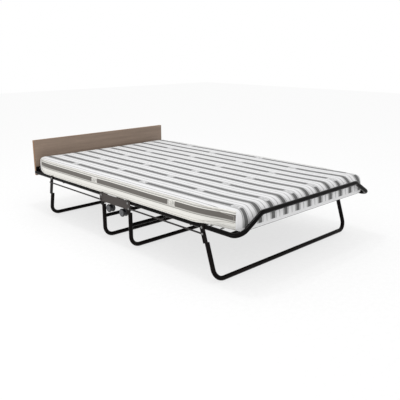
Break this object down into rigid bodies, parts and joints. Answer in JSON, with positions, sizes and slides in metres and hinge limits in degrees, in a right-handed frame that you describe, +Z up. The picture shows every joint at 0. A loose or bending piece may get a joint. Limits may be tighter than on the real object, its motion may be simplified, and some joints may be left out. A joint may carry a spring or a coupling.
{
  "type": "folding rollaway bed",
  "caption": "Fold-up guest bed: sprung tube frame that folds in the middle over castors, striped mattress, plain headboard, raised foot loop.",
  "frame": {"origin": "on the floor, under the middle of the castor base, midway between the two fold pivots; the bottom centre of the bounding box at rest is 11 mm nearer the headboard", "axes": "+Y to the headboard, +Z up, +X to the right of someone who stands at the foot and looks at the headboard"},
  "size_m": [1.252, 2.0325, 0.514],
  "materials": {
    "frame_steel": "gloss powder coat",
    "leg_steel": "gloss powder coat",
    "plate_steel": "satin paint",
    "rod_steel": "satin paint",
    "fastener_steel": "zinc plated",
    "spring_steel": "zinc plated",
    "washer_plastic": "nylon",
    "socket_plastic": "satin",
    "castor_plastic": "satin",
    "disc_plastic": "satin",
    "ticking": "striped woven ticking",
    "deck_fabric": "woven polypropylene",
    "board_laminate": "fine grained laminate",
    "board_edge": "edge banding"
  },
  "bodies": {
    "base": {"left_hinge_plate": "plate_steel", "right_hinge_plate": "plate_steel", "base_cross_tubes": "frame_steel", "frame_pivot_bolts": "fastener_steel", "pivot_spacers": "washer_plastic", "rod_anchor_pins": "fastener_steel", "castor_sockets": "socket_plastic", "mattress_middle": "ticking"},
    "head_frame": {"head_side_rails": "frame_steel", "head_cross_tubes": "frame_steel", "head_rail_caps": "socket_plastic", "head_deck": "deck_fabric", "head_deck_springs": "spring_steel", "head_leg_pivot_bolts": "fastener_steel", "headboard": "board_laminate", "headboard_edging": "board_edge", "headboard_brackets": "frame_steel", "headboard_screws": "fastener_steel", "mattress_head": "ticking"},
    "foot_frame": {"foot_loop_frame": "frame_steel", "foot_cross_tubes": "frame_steel", "foot_rail_caps": "socket_plastic", "foot_deck": "deck_fabric", "foot_deck_springs": "spring_steel", "foot_leg_pivot_bolts": "fastener_steel", "mattress_foot": "ticking"},
    "head_leg": {"head_leg_tube": "leg_steel", "head_leg_rod_pins": "fastener_steel"},
    "foot_leg": {"foot_leg_tube": "leg_steel", "foot_leg_rod_pins": "fastener_steel"},
    "centre_leg_head": {"centre_leg_head_tube": "leg_steel", "centre_leg_head_bar": "frame_steel"},
    "centre_leg_foot": {"centre_leg_foot_tube": "leg_steel", "centre_leg_foot_bar": "frame_steel"},
    "head_rods": {"head_link_rods": "rod_steel"},
    "foot_rods": {"foot_link_rods": "rod_steel"},
    "castor_left_head_fork": {"castor_left_head_stem": "fastener_steel", "castor_left_head_hood": "castor_plastic"},
    "castor_left_head_roller": {"castor_left_head_wheels": "castor_plastic", "castor_left_head_discs": "disc_plastic"},
    "castor_left_foot_fork": {"castor_left_foot_stem": "fastener_steel", "castor_left_foot_hood": "castor_plastic"},
    "castor_left_foot_roller": {"castor_left_foot_wheels": "castor_plastic", "castor_left_foot_discs": "disc_plastic"},
    "castor_right_head_fork": {"castor_right_head_stem": "fastener_steel", "castor_right_head_hood": "castor_plastic"},
    "castor_right_head_roller": {"castor_right_head_wheels": "castor_plastic", "castor_right_head_discs": "disc_plastic"},
    "castor_right_foot_fork": {"castor_right_foot_stem": "fastener_steel", "castor_right_foot_hood": "castor_plastic"},
    "castor_right_foot_roller": {"castor_right_foot_wheels": "castor_plastic", "castor_right_foot_discs": "disc_plastic"}
  },
  "joints": [
    {"name": "head_fold", "type": "hinge", "parent": "base", "child": "head_frame", "pos_m": [0, 0.135, 0.282], "axis": [1, 0, 0], "range_deg": [0, 90], "deforming": ["mattress_middle"]},
    {"name": "foot_fold", "type": "hinge", "parent": "base", "child": "foot_frame", "pos_m": [0, -0.135, 0.282], "axis": [-1, 0, 0], "range_deg": [0, 90], "deforming": ["mattress_middle"]},
    {"name": "head_leg_swing", "type": "hinge", "parent": "head_frame", "child": "head_leg", "pos_m": [0, 0.752, 0.282], "axis": [1, 0, 0], "range_deg": [-90, 0]},
    {"name": "foot_leg_swing", "type": "hinge", "parent": "foot_frame", "child": "foot_leg", "pos_m": [0, -0.752, 0.282], "axis": [-1, 0, 0], "range_deg": [-90, 0]},
    {"name": "centre_leg_head_swing", "type": "hinge", "parent": "base", "child": "centre_leg_head", "pos_m": [0, 0.135, 0.282], "axis": [1, 0, 0], "range_deg": [0, 155]},
    {"name": "centre_leg_foot_swing", "type": "hinge", "parent": "base", "child": "centre_leg_foot", "pos_m": [0, -0.135, 0.282], "axis": [-1, 0, 0], "range_deg": [0, 155]},
    {"name": "head_rod_swing", "type": "hinge", "parent": "base", "child": "head_rods", "pos_m": [0, 0.147, 0.251], "axis": [1, 0, 0], "range_deg": [0, 90]},
    {"name": "foot_rod_swing", "type": "hinge", "parent": "base", "child": "foot_rods", "pos_m": [0, -0.147, 0.251], "axis": [-1, 0, 0], "range_deg": [0, 90]},
    {"name": "castor_left_head_swivel", "type": "hinge", "parent": "base", "child": "castor_left_head_fork", "pos_m": [-0.585, 0.068, 0.237], "axis": [0, 0, 1], "continuous": true},
    {"name": "castor_left_head_roll", "type": "hinge", "parent": "castor_left_head_fork", "child": "castor_left_head_roller", "pos_m": [-0.585, 0.09, 0.2], "axis": [1, 0, 0], "continuous": true},
    {"name": "castor_left_foot_swivel", "type": "hinge", "parent": "base", "child": "castor_left_foot_fork", "pos_m": [-0.585, -0.068, 0.237], "axis": [0, 0, 1], "continuous": true},
    {"name": "castor_left_foot_roll", "type": "hinge", "parent": "castor_left_foot_fork", "child": "castor_left_foot_roller", "pos_m": [-0.585, -0.046, 0.2], "axis": [1, 0, 0], "continuous": true},
    {"name": "castor_right_head_swivel", "type": "hinge", "parent": "base", "child": "castor_right_head_fork", "pos_m": [0.585, 0.068, 0.237], "axis": [0, 0, 1], "continuous": true},
    {"name": "castor_right_head_roll", "type": "hinge", "parent": "castor_right_head_fork", "child": "castor_right_head_roller", "pos_m": [0.585, 0.09, 0.2], "axis": [1, 0, 0], "continuous": true},
    {"name": "castor_right_foot_swivel", "type": "hinge", "parent": "base", "child": "castor_right_foot_fork", "pos_m": [0.585, -0.068, 0.237], "axis": [0, 0, 1], "continuous": true},
    {"name": "castor_right_foot_roll", "type": "hinge", "parent": "castor_right_foot_fork", "child": "castor_right_foot_roller", "pos_m": [0.585, -0.046, 0.2], "axis": [1, 0, 0], "continuous": true}
  ],
  "couplings": [
    {"joint": "head_leg_swing", "follows": "head_fold", "ratio": -1},
    {"joint": "foot_leg_swing", "follows": "foot_fold", "ratio": -1},
    {"joint": "centre_leg_head_swing", "follows": "head_fold", "ratio": 1.7222},
    {"joint": "centre_leg_foot_swing", "follows": "foot_fold", "ratio": 1.7222},
    {"joint": "head_rod_swing", "follows": "head_fold", "ratio": 1},
    {"joint": "foot_rod_swing", "follows": "foot_fold", "ratio": 1}
  ]
}
